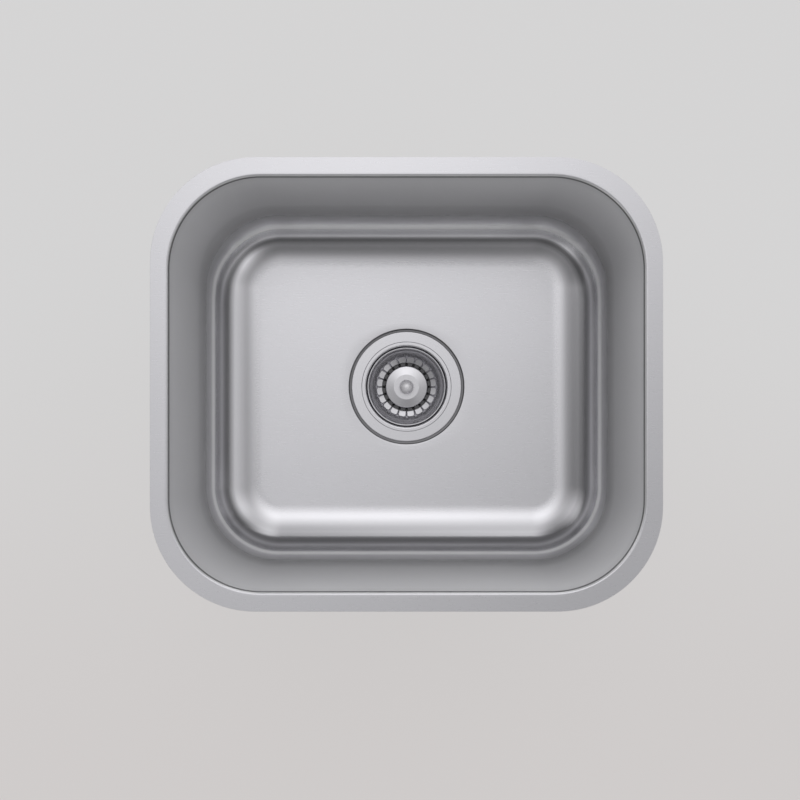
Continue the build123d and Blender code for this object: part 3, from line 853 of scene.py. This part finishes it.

# The pressing's finish down its inner side: (height from the rim in mm, roughness, metallic, tone).
# Set one by one: the tones are painted light, carrying much of the painted dark reflection line under the rim
# and of the painted bands of highlight and shade round the floor.
PAINTED_LIGHT_AND_FINISH_BY_DEPTH = (
    (-178, 0.28, 0.95, 1.0),
    (-177.5, 0.27, 0.95, 1.05),
    (-176.8, 0.24, 0.95, 0.98),
    (-175.6, 0.18, 0.9, 0.82),
    (-173.5, 0.13, 0.9, 0.86),
    (-171, 0.1, 0.9, 1.12),
    (-168.8, 0.1, 0.9, 0.88),
    (-167, 0.12, 0.9, 0.52),
    (-165.4, 0.14, 0.9, 0.5),
    (-163.6, 0.18, 0.9, 0.85),
    (-162.3, 0.18, 0.9, 1.35),
    (-159.6, 0.18, 0.9, 0.85),
    (-156.8, 0.18, 0.85, 0.95),
    (-154.8, 0.2, 0.35, 1.5),
    (-152.8, 0.2, 0.35, 1.55),
    (-150.5, 0.2, 0.65, 1.2),
    (-147, 0.22, 0.65, 0.95),
    (-141, 0.28, 0.5, 0.75),
    (-133, 0.4, 0.4, 0.92),
    (-118, 0.45, 0.35, 1.12),
    (-20, 0.45, 0.35, 1.3),
    (-5.5, 0.45, 0.35, 1.22),
    (-4.2, 0.4, 0.5, 0.35),
    (-2.6, 0.4, 0.6, 0.12),
    (-1.6, 0.4, 0.5, 0.3),
    (-1.0, 0.35, 0.4, 1.1),
    (-0.3, 0.3, 0.6, 1.15),
    (0, 0.28, 0.95, 0.97),
)
BACK_FINISH = (0.34, 0.95, 0.95)
# Painted shade: the tone that darkens the drain recess
RECESS_PAINTED_SHADE = 0.3

# The painted reflection bands, with the roughness and metallic, lie this much lower at the far side, which
# begins between these distances along Y, in metres
FAR_BAND_DROP = 0.0075
FAR_SIDE = (0.08, 0.15)


def make_pressing_painted_light_and_finish():
    """Roughness, metallic and a tone of painted light and shade of the pressing by its height, with painted
    shade in its recess and a plainer back.
    """
    outputs = [(label, "Float") for label in ("Roughness", "Metallic", "Tone", "Upright", "Matt")]
    group, _, result = new_effect("pressing_painted_light_and_finish", [], outputs)
    flat, along, height = flat_place(group)
    normal = place(group, "ShaderNodeTexCoord").outputs["Normal"]
    rise = separate(group, normal)[2]

    # The painted reflection bands of the floor's sweep, with its roughness and metallic, lowered at the far
    # side
    far = ramp_between(group, along, *FAR_SIDE)
    above_floor = ramp_between(group, height, -DEPTH * MM, -0.164)
    below_wall = ramp_between(group, height, -0.12, -0.16)
    drop = calc(group, "MULTIPLY", far, calc(group, "MULTIPLY", above_floor, below_wall))
    lowered = calc(group, "MULTIPLY_ADD", drop, FAR_BAND_DROP, height)
    scale = {"Value": lowered, "From Min": -DEPTH * MM, "From Max": 0.0}
    ramp = place(group, "ShaderNodeValToRGB", {0: place(group, "ShaderNodeMapRange", scale).outputs[0]})
    stops = ramp.color_ramp.elements
    while len(stops) < len(PAINTED_LIGHT_AND_FINISH_BY_DEPTH):
        stops.new(0.5)
    for stop, (depth, roughness, metallic, tone) in zip(stops, PAINTED_LIGHT_AND_FINISH_BY_DEPTH):
        stop.position = 1 + depth / DEPTH
        stop.color = (roughness, metallic, tone / 2, 1)
    inside = place(group, "ShaderNodeSeparateColor", {0: ramp.outputs[0]}).outputs

    # The back: faces that look away from the bowl's middle or down
    outer = ramp_between(group, vector_calc(group, "DOT_PRODUCT", flat, normal)["Value"], 0.005, 0.02)
    back = calc(group, "MAXIMUM", outer, ramp_between(group, rise, -0.1, -0.3))

    radius = vector_calc(group, "LENGTH", flat)["Value"]
    near = ramp_between(group, radius, (RECESS_R + 0.9) * MM, (RECESS_R + 0.2) * MM)
    on_floor = ramp_between(group, height, -(DEPTH + 0.1) * MM, -DEPTH * MM)
    in_recess = calc(group, "MULTIPLY", near, calc(group, "SUBTRACT", 1, on_floor))
    for label, ahead, behind in zip(("Roughness", "Metallic", "Tone"), inside, BACK_FINISH):
        if label == "Tone":
            # Painted shade: the drain recess takes a dark tone
            ahead = mix(group, in_recess, calc(group, "MULTIPLY", ahead, 2), RECESS_PAINTED_SHADE)
        feed(group, result, {label: mix(group, back, ahead, behind)})
    matt = calc(group, "MAXIMUM", back, ramp_between(group, inside["Green"], 0.85, 0.45))
    upright = calc(group, "SUBTRACT", 1, calc(group, "ABSOLUTE", rise))
    feed(group, result, {"Matt": matt, "Upright": upright})
    return group


WALL_LAY = (60, 60, 1200)
FLOOR_LAY = (60, 1500, 1500)
BRUSH_DIRECTION = (0.0, 0.03, 1.0)


def bowl_finish():
    """The pressing's finish: matt walls, a polished bend with painted highlight bands, and a brushed floor
    and flange, with painted light and shade by height.
    """
    material, tree, shader = new_material("satin_bowl", 1, 0.28)
    finish = effect(tree, make_pressing_painted_light_and_finish())
    floor_grain = effect(tree, brushed_grain, {"Lay": FLOOR_LAY})["Grain"]
    wall_grain = effect(tree, brushed_grain, {"Lay": WALL_LAY})["Grain"]
    cloud = effect(tree, handling_marks, {"Size": 0.035})["Cloud"]
    grain = mix(tree, finish["Upright"], floor_grain, wall_grain)
    uneven = calc(tree, "MULTIPLY_ADD", grain, 0.05, finish["Roughness"])
    shade = calc(tree, "MULTIPLY_ADD", cloud, 0.012, calc(tree, "MULTIPLY", grain, 0.035))
    # The tone from the finish group paints light and shade by height into the colour
    colour = tinted(tree, STEEL, toned(tree, shade, finish["Tone"]), MATT_STEEL, finish["Matt"])
    lay = place(tree, "ShaderNodeCombineXYZ", dict(enumerate(BRUSH_DIRECTION))).outputs[0]
    feed(tree, shader, {"Base Color": colour, "Metallic": finish["Metallic"]})
    feed(tree, shader, {"Roughness": uneven, "Tangent": lay})
    shader.inputs["Anisotropic"].default_value = 0.5
    return material


def within(tree, value, low, high, soft):
    """A soft-edged mask: 1 where the value lies between low and high, all in millimetres."""
    above = ramp_between(tree, value, (low - soft) * MM, low * MM)
    return calc(tree, "MULTIPLY", above, ramp_between(tree, value, (high + soft) * MM, high * MM))


def drain_place(group):
    """The distance from the drain's axis and the height at each point of a piece."""
    flat, _, height = flat_place(group)
    return vector_calc(group, "LENGTH", flat)["Value"], height


def make_basket_painted_light():
    """Painted light on the basket: painted shade that darkens its trough, a painted highlight at the knee of
    its flutes, and painted shade up its wall.
    """
    group, _, result = new_effect("basket_painted_light", [], [("Tone", "Float")])
    radius, height = drain_place(group)
    low = within(group, height, TROUGH_FLOOR - DEPTH - 0.2, FLUTE_FOOT - DEPTH - 0.4, 0.2)
    round_trough = within(group, radius, TROUGH_INNER_R - 0.1, TROUGH_OUTER_R + 0.1, 0.2)
    trough = calc(group, "MULTIPLY", low, round_trough)
    knee = within(group, height, -26 - DEPTH, -20 - DEPTH, 2)
    wall = within(group, height, -14 - DEPTH, -7 - DEPTH, 5)
    painted_light = calc(group, "MULTIPLY_ADD", wall, -0.15, calc(group, "MULTIPLY_ADD", knee, 0.25, 0.95))
    # Painted shade in the trough, over the painted highlight at the knee and the painted shade up the wall
    feed(group, result, {"Tone": calc(group, "MULTIPLY_ADD", trough, -0.82, painted_light)})
    return group


def make_cup_painted_shade():
    """Painted shade on the drain cup: a dark shadow line in the step of its flange, the inside of the cup
    darkened, and darker still under the basket.
    """
    group, _, result = new_effect("cup_painted_shade", [], [("Tone", "Float")])
    radius, height = drain_place(group)
    foot = -70 - DEPTH
    step = within(group, height, -DEPTH - 0.6, -DEPTH, 0.1)
    line = calc(group, "MULTIPLY", within(group, radius, 44.5, 44.9, 0.2), step)
    in_cup = within(group, radius, -1, 40.5, 0.3)
    inside = calc(group, "MULTIPLY", in_cup, within(group, height, foot, -2 - DEPTH, 0.8))
    under_basket = within(group, radius, -1, 38, 0.3)
    shade_under_basket = calc(group, "MULTIPLY", under_basket, within(group, height, foot, -34 - DEPTH, 4))
    # All painted shade: the line in the step, the inside of the cup and the shade under the basket
    tone = calc(group, "MULTIPLY_ADD", line, -0.45, calc(group, "MULTIPLY_ADD", inside, -0.3, 1))
    feed(group, result, {"Tone": calc(group, "MULTIPLY_ADD", shade_under_basket, -0.6, tone)})
    return group


FINISHES = {
    "strainer_steel": satin_steel("satin_drain_cup", STEEL, 0.26, (700, 700, 900), painted_light=make_cup_painted_shade()),
    "basket_steel": satin_steel(
        "satin_basket", STEEL, 0.26, (900, 900, 900), play=0.04, shade=0.012, painted_light=make_basket_painted_light(),
    ),
    "polished_steel": satin_steel("polished_post", STEEL, 0.22, (700, 700, 1500), play=0.03, shade=0.015),
    "knob_steel": satin_steel(
        "matt_knob", (0.92, 0.91, 0.94), 0.32, (700, 700, 1500), play=0.03, shade=0.015, metallic=0.35,
    ),
    "plain_steel": satin_steel("plain_washer_steel", (0.55, 0.555, 0.57), 0.34, (1200, 1200, 400)),
    "bush_metal": satin_steel("turned_bush", (0.66, 0.6, 0.48), 0.3, (200, 200, 3000)),
    "nut_metal": moulded(
        "cast_locknut", (0.60, 0.60, 0.61), (0.44, 0.44, 0.455), 0.0009, 0.42, metallic=1.0, depth=0.00012,
    ),
    "plated_brass": satin_steel(
        "chromed_brass", (0.7, 0.71, 0.73), 0.14, (120, 120, 900), play=0.05, shade=0.01,
    ),
    "putty": moulded("drain_putty", (0.58, 0.55, 0.47), (0.45, 0.42, 0.35), 0.002, 0.75, depth=0.0003),
    "gasket_rubber": moulded("black_gasket", (0.035, 0.035, 0.037), (0.018, 0.018, 0.02), 0.0006, 0.62),
    "stopper_rubber": moulded("black_stopper", (0.04, 0.04, 0.042), (0.022, 0.022, 0.024), 0.0006, 0.5),
    "pad_rubber": moulded(
        "grey_sound_pad", (0.14, 0.142, 0.147), (0.105, 0.107, 0.112), 0.0025, 0.85, depth=0.0006,
    ),
    "washer_plastic": moulded(
        "white_washer", (0.8, 0.8, 0.78), (0.72, 0.72, 0.7), 0.0008, 0.4, depth=0.00004,
    ),
    "grip_plastic": moulded("pale_grip", (0.7, 0.7, 0.68), (0.6, 0.6, 0.58), 0.0006, 0.35, depth=0.00003),
    "fibre": moulded("brown_fibre", (0.36, 0.24, 0.15), (0.25, 0.16, 0.1), 0.0007, 0.8, depth=0.0001),
}

make_bowl(bowl_finish())
make_strainer_body(FINISHES["strainer_steel"])
make_basket(FINISHES["basket_steel"])
make_turned_parts(FINISHES)
make_knob(FINISHES["knob_steel"])
make_post(FINISHES["polished_steel"])
make_locknut(FINISHES["nut_metal"])
make_nut(
    "hexagon_slip_nut", "slip_nut", "sink", FINISHES["plated_brass"], across_flats=55,
    bore=23.5, top=-50, bottom=-63, chamfer_top=True, chamfer_low=False, lip=(26.5, -65, 20.25, -63),
)
make_nut(
    "hexagon_post_nut", "post_nut", "basket", FINISHES["plain_steel"], across_flats=10,
    bore=POST_BORE_R, top=-42.2, bottom=-46.2, chamfer_top=True, chamfer_low=True,
)

PADS = [f"pad_wall_{side}" for side in ("front", "back", "left", "right")]
PADS += ["pad_floor_left", "pad_floor_right"]
KEPT_NODES = {"spider": "plain_steel", **dict.fromkeys(PADS, "pad_rubber")}
for name, slot in KEPT_NODES.items():
    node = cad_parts[name]
    node.data.materials.clear()
    node.data.materials.append(FINISHES[slot])


# Ground and light

# Painted shade: the floor is painted darker and a little warmer towards the near side
GROUND_FAR_TONE = (0.73, 0.725, 0.726)
GROUND_NEAR_TONE = (0.69, 0.664, 0.657)
GROUND_FAR_Y = 0.15
GROUND_NEAR_Y = -0.45
GROUND_REACH = 40.0
GROUND_GAP = 0.001
GROUND_SHADE = 0.25

ground_mesh = bpy.data.meshes.new("ground")
ground_z = cad_bounds[0][2] - GROUND_GAP
signs = ((-1, -1), (1, -1), (1, 1), (-1, 1))
ground_corners = [(GROUND_REACH * x, GROUND_REACH * y, ground_z) for x, y in signs]
ground_mesh.from_pydata(ground_corners, [], [(0, 1, 2, 3)])
ground = bpy.data.objects.new("ground", ground_mesh)
bpy.context.scene.collection.objects.link(ground)


def make_ground_material():
    """A pale floor: in part lit, to keep the shadow, and in part bright to the eye and in the metal."""
    material, tree, shader = new_material("pale_floor", 0, 0.9)
    along = separate(tree, object_place(tree))["Y"]
    # Painted shade: darker towards the near side
    far = ramp_between(tree, along, GROUND_NEAR_Y, GROUND_FAR_Y)
    tone = mix_colour(tree, far, (*GROUND_NEAR_TONE, 1), (*GROUND_FAR_TONE, 1))
    feed(tree, shader, {"Base Color": tone})
    bright = place(tree, "ShaderNodeEmission", {0: tone, 1: 1.0}).outputs[0]
    rays = place(tree, "ShaderNodeLightPath").outputs
    direct = calc(tree, "MAXIMUM", rays["Is Camera Ray"], rays["Is Glossy Ray"])
    seen = calc(tree, "MAXIMUM", direct, rays["Is Transmission Ray"])
    share = calc(tree, "MULTIPLY", seen, 1 - GROUND_SHADE)
    mixed = place(tree, "ShaderNodeMixShader", {0: share, 1: shader.outputs[0], 2: bright}).outputs[0]
    below = place(tree, "ShaderNodeNewGeometry").outputs["Backfacing"]
    clear = place(tree, "ShaderNodeBsdfTransparent").outputs[0]
    sided = place(tree, "ShaderNodeMixShader", {0: below, 1: mixed, 2: clear}).outputs[0]
    feed(tree, tree.nodes["Material Output"], {"Surface": sided})
    return material


ground_mesh.materials.append(make_ground_material())

# Soft lights of the studio: (zenith, compass, strength), in degrees, with the compass clockwise from +Y
SKY_BASE = 0.17
BACKDROP_TONE = (0.62, 0.605, 0.6)
SOFT_LIGHTS = (
    (20, 355, 1.55),
    (15, 230, 0.5),
    (45, 10, 0.5),
    (40, 60, 0.8),
    (40, 125, 0.7),
    (50, 90, 0.3),
    (40, 300, 0.5),
    (80, 10, 1.9),
    (80, 170, 0.6),
    (80, 220, 1.1),
    (80, 300, 1.8),
)
LIGHT_SPREAD = math.radians(15)


def make_studio():
    """A dim even studio with broad soft lights in it."""
    world = bpy.data.worlds.new("studio")
    world.use_nodes = True
    tree = world.node_tree
    heading = place(tree, "ShaderNodeTexCoord").outputs["Generated"]
    level = SKY_BASE
    focus = math.log(2) / (1 - math.cos(LIGHT_SPREAD))
    for zenith, compass, strength in SOFT_LIGHTS:
        tilt, turn = math.radians(zenith), math.radians(compass)
        axis = (math.sin(tilt) * math.sin(turn), math.sin(tilt) * math.cos(turn), math.cos(tilt))
        towards = vector_calc(tree, "DOT_PRODUCT", heading, axis)["Value"]
        falloff = calc(tree, "EXPONENT", calc(tree, "MULTIPLY_ADD", towards, focus, -focus))
        level = calc(tree, "MULTIPLY_ADD", falloff, strength, level)
    lights = tree.nodes["Background"]
    feed(tree, lights, {"Strength": level})
    lights.inputs["Color"].default_value = (1, 1, 1, 1)
    backdrop = place(tree, "ShaderNodeBackground", {0: (*BACKDROP_TONE, 1), 1: 1.0}).outputs[0]
    to_eye = place(tree, "ShaderNodeLightPath").outputs["Is Camera Ray"]
    both = place(tree, "ShaderNodeMixShader", {0: to_eye, 1: lights.outputs[0], 2: backdrop}).outputs[0]
    feed(tree, tree.nodes["World Output"], {"Surface": both})
    bpy.context.scene.world = world


make_studio()
bpy.context.scene.view_settings.view_transform = "Standard"
